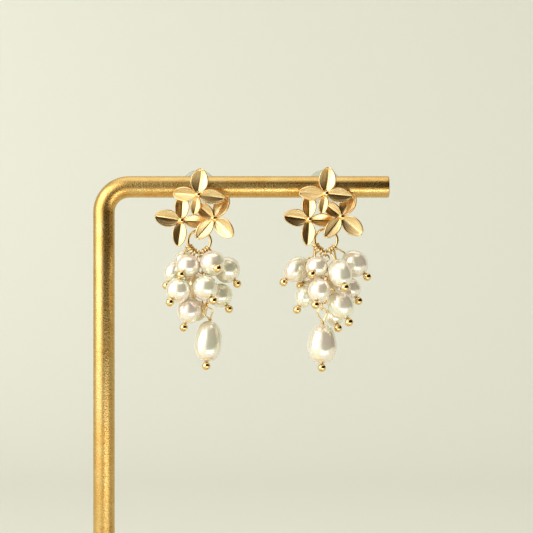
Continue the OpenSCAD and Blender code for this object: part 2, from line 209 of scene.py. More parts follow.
# Clear silicone rubber, moulded: see-through, only its edge catches the light
clearSilicone = dict(colour="#eaece6", roughness=0.07, frost=1.2, ior=1.41)


def makeClearSilicone(finish):
    material, tree = startMaterial("clear moulded silicone")
    place = addNode(tree, "ShaderNodeTexCoord")
    frost = addNode(tree, "ShaderNodeTexNoise", {
        "Vector": place.outputs["Object"], "Scale": 1 / (finish["frost"] * mm), "Detail": 2.0})
    polish = addNode(tree, "ShaderNodeMapRange", {
        "Value": frost, "To Min": finish["roughness"] - 0.04, "To Max": finish["roughness"] + 0.06})
    shader = addNode(tree, "ShaderNodeBsdfPrincipled", {
        "Base Color": hexColour(finish["colour"]), "Roughness": polish, "IOR": finish["ior"],
        "Transmission Weight": 1.0})
    finishMaterial(tree, shader)
    return material


blastedGoldPaint = makeBlastedGold(blastedGold)
satinGoldPaint = makeSatinGold(satinGold)
polishedGoldPaint = makePolishedGold(polishedGold)
nacrePaint, shadedNacrePaint = makeNacre(nacre), makeNacre(shadedNacre)
clearSiliconePaint = makeClearSilicone(clearSilicone)


# Meshes made in code, all closed; their points come in millimetres and leave in metres

# Points closer than this are made one
weldGap = 0.0002


# Turns the faces outward and welds close points
def cleaned(mesh, weld=0):
    work = bmesh.new()
    work.from_mesh(mesh)
    if weld:
        bmesh.ops.remove_doubles(work, verts=work.verts, dist=weld)
    bmesh.ops.recalc_face_normals(work, faces=work.faces)
    work.to_mesh(mesh)
    work.free()


def meshFrom(name, points, faces, marks=None):
    mesh = bpy.data.meshes.new(name)
    mesh.from_pydata([Vector(p) * mm for p in points], [], faces)
    if marks:
        store = mesh.attributes.new("petalUv", "FLOAT_VECTOR", "POINT")
        for spot, mark in zip(store.data, marks):
            spot.vector = mark
    cleaned(mesh, weldGap * mm)
    mesh.shade_smooth()
    return mesh


# Quads between rows of points, each row closed on itself
def ringFaces(rows, count):
    return [(r * count + i, r * count + (i + 1) % count,
             (r + 1) * count + (i + 1) % count, (r + 1) * count + i)
            for r in range(rows) for i in range(count)]


# Turns a profile of (radius, height) about Z; a profile that ends on the axis closes in a pole
def lathe(name, profile, steps, closed=False):
    count = len(profile)
    points = [(r * cos(2 * pi * k / steps), r * sin(2 * pi * k / steps), z)
              for k in range(steps) for r, z in profile]
    rows = count if closed else count - 1
    faces = [(k * count + i, (k + 1) % steps * count + i,
              (k + 1) % steps * count + (i + 1) % count, k * count + (i + 1) % count)
             for k in range(steps) for i in range(rows)]
    return meshFrom(name, points, faces)


def turnedTo(way):
    return Vector(way).to_track_quat("Z", "Y").to_matrix().to_4x4()


# Turns a lathed piece's top away from the viewer
toBack = Matrix.Rotation(-pi / 2, 4, "X")


# A step away from the viewer
def deeper(step):
    return Vector((0, step, 0))


def moved(mesh, at, turn=None):
    mesh.transform(Matrix.Translation(Vector(at) * mm) @ (turn or Matrix()))
    return mesh


# A rounded bar between two balls
def capsule(a, b, radiusA, radiusB, steps=24):
    run = Vector(b) - Vector(a)
    rings = 8
    corner = [pi / 2 * i / rings for i in range(rings + 1)]
    low = [(radiusA * sin(c), -radiusA * cos(c)) for c in corner]
    high = [(radiusB * cos(c), run.length + radiusB * sin(c)) for c in corner]
    return moved(lathe("capsule", low + high, steps), a, turnedTo(run))


# One mesh out of several, each with the paint that stands beside it
def joined(name, parts):
    whole = bmesh.new()
    paints = []
    for mesh, paint in parts:
        if paint not in paints:
            paints.append(paint)
        start = len(whole.faces)
        whole.from_mesh(mesh)
        whole.faces.ensure_lookup_table()
        for face in whole.faces[start:]:
            face.material_index = paints.index(paint)
    result = bpy.data.meshes.new(name)
    whole.to_mesh(result)
    whole.free()
    for paint in paints:
        result.materials.append(paint)
    result.shade_smooth()
    return result


def addPiece(name, mesh, body, node):
    piece = placed(name, mesh)
    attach(piece, body)
    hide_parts(node)


# Geometry Nodes trees: a source mesh goes in, a finished mesh comes out

def newTree(name, sizes):
    tree = bpy.data.node_groups.new(name, "GeometryNodeTree")
    tree.interface.new_socket("Geometry", in_out="INPUT", socket_type="NodeSocketGeometry")
    for label, kind, value in sizes:
        socket = tree.interface.new_socket(label, in_out="INPUT", socket_type="NodeSocket" + kind)
        socket.default_value = value
    tree.interface.new_socket("Material", in_out="INPUT", socket_type="NodeSocketMaterial")
    tree.interface.new_socket("Geometry", in_out="OUTPUT", socket_type="NodeSocketGeometry")
    return tree, addNode(tree, "NodeGroupInput").outputs


def closeTree(tree, given, geometry):
    real = addNode(tree, "GeometryNodeRealizeInstances", {0: geometry})
    smooth = addNode(tree, "GeometryNodeSetShadeSmooth", {0: real})
    painted = addNode(tree, "GeometryNodeSetMaterial", {0: smooth, "Material": given["Material"]})
    addNode(tree, "NodeGroupOutput", {0: painted})


def finished(holder):
    mesh = bpy.data.meshes.new_from_object(holder.evaluated_get(bpy.context.evaluated_depsgraph_get()))
    bpy.data.objects.remove(holder)
    return mesh


def grow(tree, source, material, **sizes):
    holder = placed("holder", source)
    modifier = holder.modifiers.new("grow", "NODES")
    modifier.node_group = tree
    sockets = {s.name: s.identifier for s in tree.interface.items_tree if s.in_out == "INPUT"}
    modifier[sockets["Material"]] = material
    for label, value in sizes.items():
        modifier[sockets[label]] = value
    return finished(holder)


# A mesh of edges only; values are attributes of its points
def wirePath(points, cyclic=False, **values):
    mesh = bpy.data.meshes.new("path")
    last = len(points) if cyclic else len(points) - 1
    edges = [(i, (i + 1) % len(points)) for i in range(last)]
    mesh.from_pydata([Vector(p) * mm for p in points], edges, [])
    for name, numbers in values.items():
        store = mesh.attributes.new(name, "FLOAT", "POINT")
        for spot, number in zip(store.data, numbers):
            spot.value = number
    return mesh


# Round wire along a path with rounded corners; a point whose ballSize is over zero carries a ball
def makeWireTree():
    tree, given = newTree("round wire", [
        ("wire", "Float", 0.4 * mm), ("corner", "Float", 0.5 * mm), ("sides", "Int", 10)])
    line = addNode(tree, "GeometryNodeMeshToCurve", {0: given["Geometry"]})
    bent = addNode(tree, "GeometryNodeFilletCurve", {
        "Curve": line, "Radius": given["corner"], "Limit Radius": True, "Count": 5}, mode="POLY")
    half = addNode(tree, "ShaderNodeMath", {0: given["wire"], 1: 0.5}, operation="MULTIPLY")
    section = addNode(tree, "GeometryNodeCurvePrimitiveCircle", {
        "Resolution": given["sides"], "Radius": half})
    swept = addNode(tree, "GeometryNodeCurveToMesh", {
        "Curve": bent, "Profile Curve": section, "Fill Caps": True})
    size = addNode(tree, "GeometryNodeInputNamedAttribute", {"Name": "ballSize"}, data_type="FLOAT")
    wanted = addNode(tree, "FunctionNodeCompare", {
        0: size, 1: 0.0}, data_type="FLOAT", operation="GREATER_THAN")
    ball = addNode(tree, "GeometryNodeMeshUVSphere", {"Segments": 32, "Rings": 20, "Radius": 0.5})
    spread = addNode(tree, "ShaderNodeCombineXYZ", {0: size, 1: size, 2: size})
    balls = addNode(tree, "GeometryNodeInstanceOnPoints", {
        "Points": given["Geometry"], "Selection": wanted, "Instance": ball, "Scale": spread})
    both = addNode(tree, "GeometryNodeJoinGeometry", {0: swept})
    tree.links.new(balls.outputs[0], both.inputs[0])
    closeTree(tree, given, both)
    return tree


wireTree = makeWireTree()

# Earrings: the post's place along the bar, the drop of the top flower's ball below the bar's line, the
# ring's centre, and how the casting is turned in the picture plane and about the vertical
earrings = dict(
    left=dict(postX=-10.3, ballDown=2.1, ringX=-10.0, ringDown=13.2, roll=0, yaw=0),
    right=dict(postX=20.2, ballDown=1.8, ringX=20.4, ringDown=12.9, roll=1.6, yaw=11),
)
# The drops' place before the bar's line, the jump ring's width and wire, and the play round a seated piece
dropDepth = -2.4
ringWide, ringWire = 5.44, 0.65
seatGap = 0.05

print("stand")
stand = dict(baseLength=80, baseWidth=44, baseThick=4, baseCorner=8, cornerSteps=12, baseSharp=50,
             barWide=5.2, armHeight=110, bendRadius=6.1, uprightOff=33.1, armReach=68.8, tubeSharp=40,
             endRound=0.35, edgeRound=0.6, postHole=1.1)


def cut(mesh, cutters):
    holder = placed("holder", mesh)
    tools = [placed("cutter", cutter) for cutter in cutters]
    for tool in tools:
        modifier = holder.modifiers.new("cut", "BOOLEAN")
        modifier.object = tool
        modifier.solver = "EXACT"
    result = finished(holder)
    for tool in tools:
        bpy.data.objects.remove(tool)
    return result


def holeCutter(at, way, wide, deep):
    profile = [(0, -deep / 2), (wide / 2, -deep / 2), (wide / 2, deep / 2), (0, deep / 2)]
    return moved(lathe("hole", profile, 32), at, turnedTo(way))


# A quarter round: how far in and how far along, from the flat end to the side
def quarterRound(radius, steps=4):
    return [(radius * (1 - sin(pi / 2 * i / steps)), radius * (1 - cos(pi / 2 * i / steps)))
            for i in range(steps + 1)]


# The bent bar: a path with one rounded corner, swept by a circle that shrinks at the ends
def makeBarTree():
    tree, given = newTree("bent bar", [("wide", "Float", 5 * mm), ("bend", "Float", 6 * mm)])
    line = addNode(tree, "GeometryNodeMeshToCurve", {0: given["Geometry"]})
    sharp = addNode(tree, "GeometryNodeInputNamedAttribute", {"Name": "cornerShare"}, data_type="FLOAT")
    radius = addNode(tree, "ShaderNodeMath", {0: sharp, 1: given["bend"]}, operation="MULTIPLY")
    bent = addNode(tree, "GeometryNodeFilletCurve", {
        "Curve": line, "Radius": radius, "Count": 24}, mode="POLY")
    thick = addNode(tree, "GeometryNodeInputNamedAttribute", {"Name": "thickShare"}, data_type="FLOAT")
    half = addNode(tree, "ShaderNodeMath", {0: given["wide"], 1: 0.5}, operation="MULTIPLY")
    section = addNode(tree, "GeometryNodeCurvePrimitiveCircle", {"Resolution": 72, "Radius": half})
    swept = addNode(tree, "GeometryNodeCurveToMesh", {
        "Curve": bent, "Profile Curve": section, "Scale": thick, "Fill Caps": True})
    closeTree(tree, given, swept)
    return tree


def makeBar(sizes):
    footZ = sizes["baseThick"] / 2 + seatGap
    footX, endX, top = -sizes["uprightOff"], sizes["armReach"] - sizes["uprightOff"], sizes["armHeight"]
    ends = [(along, 1 - 2 * inset / sizes["barWide"]) for inset, along in quarterRound(sizes["endRound"])]
    points = [(footX, 0, footZ + along) for along, share in ends] + [(footX, 0, top)]
    points += [(endX - along, 0, top) for along, share in reversed(ends)]
    thick = [share for along, share in ends] + [1.0] + [share for along, share in reversed(ends)]
    corner = [0.0] * len(ends) + [1.0] + [0.0] * len(ends)
    path = wirePath(points, thickShare=thick, cornerShare=corner)
    bar = grow(makeBarTree(), path, blastedGoldPaint,
               wide=sizes["barWide"] * mm, bend=sizes["bendRadius"] * mm)
    holes = [holeCutter((earring["postX"], 0, top), (0, 1, 0), sizes["postHole"], 2 * sizes["barWide"])
             for earring in earrings.values()]
    drilled = cut(bar, holes)
    drilled.set_sharp_from_angle(angle=radians(sizes["tubeSharp"]))
    addPiece("standTube", drilled, "root", "stand_tube")


def makeBase(sizes):
    length, width, thick = sizes["baseLength"], sizes["baseWidth"], sizes["baseThick"]
    corner, steps = sizes["baseCorner"], sizes["cornerSteps"]
    outline = []
    for x, y, start in ((1, 1, 0), (-1, 1, 90), (-1, -1, 180), (1, -1, 270)):
        middle = Vector((x * (length / 2 - corner), y * (width / 2 - corner)))
        turns = [radians(start + 90 * i / steps) for i in range(steps + 1)]
        outline += [middle + corner * Vector((cos(a), sin(a))) for a in turns]
    levels = quarterRound(sizes["edgeRound"])
    levels += [(inset, thick - up) for inset, up in reversed(levels)]
    points = [(x * (1 - 2 * inset / length), y * (1 - 2 * inset / width), z)
              for inset, z in levels for x, y in outline]
    count, last = len(outline), len(levels) - 1
    ends = [tuple(reversed(range(count))), tuple(range(last * count, (last + 1) * count))]
    plate = meshFrom("plate", points, ringFaces(last, count) + ends)
    plate.materials.append(blastedGoldPaint)
    wide = sizes["barWide"] + 2 * seatGap
    socket = holeCutter((-sizes["uprightOff"], 0, thick), (0, 0, 1), wide, thick)
    plate = cut(plate, [socket])
    plate.set_sharp_from_angle(angle=radians(sizes["baseSharp"]))
    addPiece("standBase", plate, "root", "stand_base")


makeBar(stand)
makeBase(stand)

print("flowers")
# One petal is a valley that flattens out towards a low rim with a rounded lip; sag hollows its middle, and
# a lower fullness value rounds its outline
petalForm = dict(fold=0.46, valley=1.3, rimHigh=0.1, rimWide=0.5, lipRound=0.22, thick=0.42, sag=0.035,
                 rootFull=0.8, tipFull=0.47, along=28, around=48)
flowerAt = [(0, 0, 0), (-4.0, 1.0, -6.1), (3.8, 0.5, -5.6)]
# flower, direction in the picture plane, length, width, tilt of the tip towards the viewer, roll, curl
# back, share of the valley's depth
petalRow = namedtuple("petalRow", "flower turn length width tilt roll curl deep")
petals = [petalRow(*row) for row in (
    (0, 82.6, 6.4, 4.3, 6, -3, 0.03, 1), (0, 175.4, 6.4, 3.5, -13, 0, 0.1, 1),
    (0, -7.8, 6.5, 3.6, 12, 5, 0.25, 1), (0, 258.3, 4.8, 2.5, -6, 0, 0, 1),
    (1, 87.1, 6.2, 3.6, -8, 0, 0, 1), (1, 170.7, 6.5, 4.2, 10, -2, 0.02, 1),
    (1, 263, 6.2, 3.5, 12, 0, 0.1, 1), (1, -3.8, 6.2, 3.3, -4, -10, 0, 1),
    (2, 229.2, 6.4, 3.5, 7, 0, 0.05, 1), (2, -43, 6.6, 4.3, 18, 18, 0, 0.5),
    (2, 58.2, 6.4, 4.0, -4, -28, 0, 0.5), (2, 140.2, 5.2, 3.4, -4, 0, 0, 1),
)]
solderAt = [(-3.9, 2.0, -0.6), (5.7, 1.1, -1.0), (1.9, 0.9, -6.9)]
# The balls and hubs, the solder blobs, the neck from the top flower back to the post, the post, and the
# eyelet with its stem
casting = dict(ballDepth=-4.9, ballWide=1.5, ballForward=0.45, hubWide=1.16, hubDeep=0.5,
               solderWide=0.9, solderHalf=0.2, neckFrom=(0, 0.5, 0.6), neckShort=0.9, neckFront=0.7,
               neckBack=0.8, postWide=0.9, postLong=10.6, postIn=0.3, eyeletRadius=0.75, eyeletWire=0.5,
               eyeletGap=0.06, eyeletSteps=32, stemUp=0.2)
# Radius and height of the pad that rests on the bar
padProfile = [(0, -0.4), (0.95, -0.4), (1.06, -0.34), (1.1, -0.24), (1.1, -0.1), (1.04, 0), (0, 0)]


def petalMesh(row, form):
    points, marks = [], []
    for i in range(form["along"] + 1):
        t = (1 - cos(pi * i / form["along"])) / 2
        bulge = max(sin(pi * t ** 1.06), 0.0)
        half = row.width / 2 * bulge ** (form["rootFull"] + (form["tipFull"] - form["rootFull"]) * t)
        middle = form["thick"] / 2 + row.length * (form["sag"] * sin(pi * t) + row.curl * t * t)
        fold = form["fold"] * row.deep * half
        for j in range(form["around"]):
            turn = 2 * pi * j / form["around"]
            across, side = cos(turn), abs(cos(turn))
            inset = min((1 - side) * half, t * row.length, (1 - t) * row.length)
            lip = sqrt(max(1 - (1 - min(inset / form["lipRound"], 1)) ** 2, 0))
            rise = min(max((form["rimWide"] - inset) / (form["rimWide"] - form["lipRound"]), 0), 1)
            rim = form["rimHigh"] * rise * rise * (3 - 2 * rise)
            skin = lip * (form["thick"] / 2 + rim if sin(turn) > 0 else -form["thick"] / 2)
            valley = fold * (1.5 * side ** form["valley"] - 0.5 * side ** (3 * form["valley"]))
            points.append((row.length * t, middle - valley - skin, half * across))
            marks.append((t, across, row.turn))
    faces = ringFaces(form["along"], form["around"])
    turn = (Matrix.Rotation(-radians(row.turn), 4, "Y") @ Matrix.Rotation(-radians(row.tilt), 4, "Z")
            @ Matrix.Rotation(radians(row.roll), 4, "X"))
    return moved(meshFrom("petal", points, faces, marks), flowerAt[row.flower], turn)


def makeFlower(side, earring, sizes):
    ball, hub, blob = sizes["ballWide"] / 2, sizes["hubWide"] / 2, sizes["solderWide"] / 2
    head = [(petalMesh(row, petalForm), satinGoldPaint) for row in petals]
    for at in flowerAt:
        # a ball is a capsule with next to no length
        front = Vector(at) - deeper(sizes["ballForward"])
        head.append((capsule(front, front - deeper(0.001), ball, ball, 32), polishedGoldPaint))
        head.append((capsule(at, Vector(at) + deeper(sizes["hubDeep"]), hub, hub), satinGoldPaint))
    half = deeper(sizes["solderHalf"])
    head += [(capsule(Vector(at) - half, Vector(at) + half, blob, blob), satinGoldPaint) for at in solderAt]
    centre = Vector((earring["postX"], sizes["ballDepth"], stand["armHeight"] - earring["ballDown"]))
    turn = (Matrix.Rotation(-radians(earring["roll"]), 4, "Y")
            @ Matrix.Rotation(radians(earring["yaw"]), 4, "Z"))
    for mesh, paint in head:
        moved(mesh, centre, turn)

    post = Vector((earring["postX"], -stand["barWide"] / 2 - seatGap, stand["armHeight"]))
    radius, steps = sizes["eyeletRadius"], sizes["eyeletSteps"]
    eyelet = Vector((earring["ringX"], dropDepth, stand["armHeight"] - earring["ringDown"] + ringWide / 2
                     + radius - sizes["eyeletWire"] - ringWire / 2 - sizes["eyeletGap"]))
    loop = [eyelet + radius * Vector((0, cos(2 * pi * i / steps), sin(2 * pi * i / steps)))
            for i in range(steps)]
    thin, wire = sizes["postWide"] / 2, sizes["eyeletWire"] / 2
    back = [
        capsule(centre + Vector(sizes["neckFrom"]), post - deeper(sizes["neckShort"]),
                sizes["neckFront"], sizes["neckBack"]),
        capsule(post - deeper(sizes["postIn"]), post + deeper(sizes["postLong"]), thin, thin),
        capsule(eyelet + Vector((0, -radius, sizes["stemUp"])), centre + Vector(solderAt[2]), wire, wire),
        moved(lathe("pad", padProfile, 32), post, toBack),
        grow(wireTree, wirePath(loop, cyclic=True), satinGoldPaint,
             wire=sizes["eyeletWire"] * mm, corner=0.0, sides=14),
    ]
    cast = joined("flower", head + [(mesh, satinGoldPaint) for mesh in back])
    addPiece("flower" + side.capitalize(), cast, "root", "flower_" + side)


# The clear push-on back is turned: a disc against the bar, a waist and a rounded barrel on the post
earBack = dict(discWide=8.5, discThick=1.2, barrelWide=3.6, barrelLong=4.2, bore=1.0, sharp=60)


def makeEarBack(side, earring, sizes):
    disc, barrel, bore = sizes["discWide"] / 2, sizes["barrelWide"] / 2, sizes["bore"] / 2
    thick, long = sizes["discThick"], sizes["barrelLong"]
    # from the hole's front edge out over the disc, back along the barrel and in again
    profile = [(bore, 0.05), (bore + 0.05, 0), (disc - 0.35, 0), (disc - 0.1, 0.1), (disc, 0.35),
               (disc, thick - 0.45), (disc - 0.15, thick - 0.12), (disc - 0.45, thick),
               (barrel + 0.35, thick), (barrel + 0.1, thick + 0.1), (barrel, thick + 0.35),
               (barrel, long - 0.4), (barrel - 0.12, long - 0.12), (barrel - 0.4, long),
               (bore + 0.25, long), (bore, long - 0.2)]
    at = (earring["postX"], stand["barWide"] / 2 + seatGap, stand["armHeight"])
    mesh = moved(lathe("earBack", profile, 64, closed=True), at, toBack)
    mesh.materials.append(clearSiliconePaint)
    mesh.set_sharp_from_angle(angle=radians(sizes["sharp"]))
    addPiece("earBack" + side.capitalize(), mesh, "root", "ear_back_" + side)


for side, earring in earrings.items():
    makeFlower(side, earring, casting)
    makeEarBack(side, earring, earBack)

print("drops")
# Pearls, from the ring's centre: place of the centre, radius, half length along the hole, the ball's place
# across and up from the pearl's centre, what the pin hangs on (0 is the ring, otherwise a link) with the
# place on it in degrees from its lowest point, and the bend of the wire on its way up
pearlRow = namedtuple("pearlRow", "at radius half ball hangs bend")
pearls = dict(
    left=[pearlRow(*row) for row in (
        ((-2.7, -2.6, -5.95), 2.88, 2.88, (-1.58, -1.99), (0, -22), (-1.4, -0.05, -3.8)),
        ((3.2, -2.9, -5.2), 3.02, 3.02, (1.27, -1.27), (0, 22), (1.7, 0.2, -3.8)),
        ((6.6, 3.0, -6.8), 3.2, 3.2, (2.45, -3.38), (0, 52), (3.4, 2.2, -2.9)),
        ((-6.3, 1.4, -7.3), 2.2, 2.7, (-1.65, -3.3), (0, -67), (-4.0, 1.4, -3.6)),
        ((-4.0, 5.0, -4.5), 2.4, 2.4, (-1.25, -3.15), (0, -52), (-2.7, 2.8, -1.9)),
        ((-4.9, -4.2, -11.7), 3.0, 3.0, (-1.9, -2.81), (0, -37), (-3.0, 1.0, -8.2)),
        ((1.5, -4.5, -11.1), 3.0, 3.0, (1.97, -3.0), (6, -80), (-0.2, -2.0, -8.6)),
        ((5.0, 3.2, -13.0), 2.95, 2.95, (2.06, -3.26), (0, 37), (2.4, 2.8, -7.6)),
        ((-2.4, -1.5, -16.5), 2.85, 3.3, (-1.3, -4.1), (8, -80), (-0.7, -1.0, -12.1)),
        ((-0.9, 4.0, -16.7), 2.6, 2.6, (-3.2, -0.9), (8, 80), (1.8, 2.6, -13.6)),
        ((-1.2, 4.5, -10.6), 3.0, 3.0, (-3.1, -2.5), (4, 80), (1.3, 2.0, -7.0)),
    )],
    right=[pearlRow(*row) for row in (
        ((-2.25, -3.1, -6.5), 2.65, 2.65, (-1.32, -1.63), (0, -22), (-1.4, -0.4, -4.3)),
        ((3.2, -4.6, -7.9), 2.88, 4.0, (1.08, -3.38), (0, 22), (1.7, -0.8, -4.0)),
        ((7.0, 3.5, -5.6), 3.2, 3.5, (3.0, -3.2), (0, 52), (3.3, 2.8, -2.2)),
        ((-7.1, 2.5, -7.0), 2.85, 3.5, (-3.1, -3.1), (0, -37), (-3.2, 2.6, -4.2)),
        ((-4.0, 6.2, -9.0), 2.2, 2.2, (-2.1, -1.9), (0, -67), (-2.9, 4.9, -4.6)),
        ((-1.7, -5.7, -12.0), 2.7, 2.9, (-1.0, -3.4), (0, -52), (-2.6, 0.4, -9.6)),
        ((-5.0, 2.0, -13.6), 2.4, 2.75, (-1.94, -3.1), (6, -80), (-2.0, 2.0, -10.1)),
        ((6.0, 2.5, -11.6), 2.5, 2.6, (1.87, -3.0), (0, 37), (3.2, 2.4, -7.4)),
        ((3.5, -2.2, -15.5), 3.15, 3.6, (1.92, -4.1), (8, 80), (1.2, -0.9, -11.5)),
        ((2.1, 3.5, -18.4), 2.4, 2.4, (0.84, -2.74), (10, 80), (0.5, 3.0, -14.9)),
        ((1.0, 5.0, -10.3), 2.7, 2.7, (-2.6, -2.6), (4, 80), (1.8, 2.6, -6.6)),
    )],
)
longPearls = dict(
    left=pearlRow((2.1, 0, -24.0), 3.3, 4.95, (-0.43, -5.85), (0, 0), (1.8, 0, -16.0)),
    right=pearlRow((-0.9, 0, -24.9), 3.55, 4.7, (-0.1, -5.7), (0, 0), (-1.0, 0, -16.3)),
)
# How much a long pearl narrows towards its top, and its shoulders: 1 is an ellipse, less is fuller
longTaper = dict(left=0.06, right=0.08)
longShoulder = dict(left=0.74, right=0.8)
# Wire sizes; a loop's wire is drawn a little fuller than the CAD's, as it looks in the photograph
wires = dict(pin=0.45, pinCorner=0.7, ball=2.0, loop=0.36, loopDrawn=0.54, loopCut=8, link=0.36, links=11,
             bore=0.75, beadGap=0.03, hangGap=0.06, linkGap=0.1, ringLoop=0.65, linkLoop=0.5, rise=0.45,
             eye=1.1, eyeCorner=0.3, wrap=0.26, wrapRadius=0.3)
# Where the jump ring is cut, behind the pin loops at its lower left, and half the cut's width, in degrees
ringCut = dict(at=200, half=0.8)


# The way from a pearl's centre to its ball; the ball comes towards the viewer
def pinWay(row):
    reach = row.half + wires["ball"] / 2 + wires["beadGap"]
    across, up = row.ball
    out = sqrt(max(reach ** 2 - across ** 2 - up ** 2, 0))
    return Vector((across, -out, up)).normalized()


def ballAt(row):
    return Vector(row.at) + (row.half + wires["ball"] / 2 + wires["beadGap"]) * pinWay(row)


def pinTop(row):
    return Vector(row.at) - (row.half + wires["rise"]) * pinWay(row)


# The chain runs straight from the ring's lowest point to the eye of the long pearl's pin
def chainRun(side):
    start = Vector((0, 0, -ringWide / 2))
    run = Vector(longPearls[side].bend) - start
    count = wires["links"]
    span = (run.length + (count - 1) * (wires["link"] + wires["linkGap"]) + wires["link"]
            + ringWire / 2 + wires["loop"] / 2 + 2 * wires["hangGap"])
    radius = span / (2 * count)
    first = radius - wires["link"] / 2 - ringWire / 2 - wires["hangGap"]
    pitch = 2 * radius - wires["link"] - wires["linkGap"]
    along = run.normalized()
    return [start + along * (first + n * pitch) for n in range(count)], radius, along


# Centre, axis, way down and radius of a pin's loop
def loopOf(side, row):
    carrier, place = row.hangs
    centre, radius, thick, loop = Vector((0, 0, 0)), ringWide / 2, ringWire, wires["ringLoop"]
    if carrier:
        links, radius, along = chainRun(side)
        centre, thick, loop = links[carrier - 1], wires["link"], wires["linkLoop"]
    a = radians(place)
    point = centre + radius * Vector((sin(a), 0, -cos(a)))
    axis = Vector((cos(a), 0, sin(a)))
    way = Vector(row.bend) - point
    way = (way - way.dot(axis) * axis).normalized()
    middle = point + (loop - wires["loop"] / 2 - thick / 2 - wires["hangGap"]) * way
    return middle, axis, way, loop


def arc(centre, axis, way, radius, start, end, steps):
    other = axis.cross(way).normalized()
    turns = [radians(start + (end - start) * i / steps) for i in range(steps + 1)]
    return [centre + radius * (cos(a) * way + sin(a) * other) for a in turns]


def onRing(earring, points):
    origin = Vector((earring["ringX"], dropDepth, stand["armHeight"] - earring["ringDown"]))
    return [origin + Vector(p) for p in points]


# Polished wire along points that are measured from the ring's centre
def goldWire(earring, points, wire, corner=0, sides=12, **path):
    return grow(wireTree, wirePath(onRing(earring, points), **path), polishedGoldPaint,
                wire=wire * mm, corner=corner * mm, sides=sides)


def makeHeadPin(side, earring, row, number):
    middle, axis, way, loop = loopOf(side, row)
    shank = [ballAt(row), pinTop(row), row.bend, middle + loop * way]
    balls = [wires["ball"] * mm, 0.0, 0.0, 0.0]
    swell = (wires["loopDrawn"] - wires["loop"]) / 2
    ring = arc(middle, axis, way, loop + swell, wires["loopCut"], 360, 30)
    parts = [goldWire(earring, shank, wires["pin"], wires["pinCorner"], ballSize=balls),
             goldWire(earring, ring, wires["loopDrawn"])]
    mesh = joined("headPin", [(part, polishedGoldPaint) for part in parts])
    addPiece(f"headPin{side.capitalize()}{number}", mesh, "drop_" + side,
             f"headpin_{side}_{number}")


# The long pearl's pin ends in a teardrop eye: two straight legs and a round top, with two turns round its
# neck, each of twelve steps
def makeLongPin(side, earring, row):
    knot, top = pinTop(row), Vector(row.bend)
    down = (knot - top).normalized()
    middle = top + wires["eye"] * down
    across = down.cross(Vector((0, 1, 0))).normalized()
    lean = degrees(asin(wires["eye"] / (knot - middle).length))
    axis = down.cross(across)
    tear = [knot] + arc(middle, axis, down, wires["eye"], 90 - lean, 270 + lean, 24)
    turns = [knot + wires["loop"] * (i / 24 - 0.25) * down
             + wires["wrapRadius"] * (cos(2 * pi * i / 12) * across + sin(2 * pi * i / 12) * axis)
             for i in range(25)]
    parts = [goldWire(earring, [ballAt(row), knot], wires["pin"], ballSize=[wires["ball"] * mm, 0.0]),
             goldWire(earring, tear, wires["loop"], wires["eyeCorner"], cyclic=True),
             goldWire(earring, turns, wires["wrap"], sides=8)]
    mesh = joined("headPinLong", [(part, polishedGoldPaint) for part in parts])
    addPiece("headPinLong" + side.capitalize(), mesh, "drop_" + side, "headpin_long_" + side)


# Round links on points, every other one turned by a quarter
def makeChainTree():
    tree, given = newTree("chain", [
        ("wire", "Float", 0.36 * mm), ("radius", "Float", 0.7 * mm),
        ("flatToSide", "Vector", (1, 0, 0)), ("flatToFront", "Vector", (0, 1, 0))])
    half = addNode(tree, "ShaderNodeMath", {0: given["wire"], 1: 0.5}, operation="MULTIPLY")
    section = addNode(tree, "GeometryNodeCurvePrimitiveCircle", {"Resolution": 10, "Radius": half})
    hoop = addNode(tree, "GeometryNodeCurvePrimitiveCircle", {"Resolution": 28, "Radius": given["radius"]})
    link = addNode(tree, "GeometryNodeCurveToMesh", {"Curve": hoop, "Profile Curve": section})
    index = addNode(tree, "GeometryNodeInputIndex")
    odd = addNode(tree, "ShaderNodeMath", {0: index, 1: 2.0}, operation="MODULO")
    axis = addNode(tree, "ShaderNodeMix", {
        "Factor": odd, 4: given["flatToSide"], 5: given["flatToFront"]}, data_type="VECTOR")
    turn = addNode(tree, "FunctionNodeAlignRotationToVector", {"Vector": axis.outputs[1]}, axis="Z")
    links = addNode(tree, "GeometryNodeInstanceOnPoints", {
        "Points": given["Geometry"], "Instance": link, "Rotation": turn})
    closeTree(tree, given, links)
    return tree


def makeChain(side, earring, tree):
    centres, radius, along = chainRun(side)
    mesh = grow(tree, wirePath(onRing(earring, centres)), polishedGoldPaint,
                wire=wires["link"] * mm, radius=radius * mm,
                flatToSide=(1, 0, -along.x / along.z), flatToFront=(0, 1, -along.y / along.z))
    cleaned(mesh)
    addPiece("chain" + side.capitalize(), mesh, "drop_" + side, "chain_" + side)


def makeJumpRing(side, earring):
    ring = arc(Vector((0, 0, 0)), Vector((0, 1, 0)), Vector((0, 0, 1)), ringWide / 2,
               ringCut["at"] + ringCut["half"], ringCut["at"] + 360 - ringCut["half"], 96)
    mesh = goldWire(earring, ring, ringWire, sides=20)
    addPiece("jumpRing" + side.capitalize(), mesh, "ring_" + side, "jump_ring_" + side)


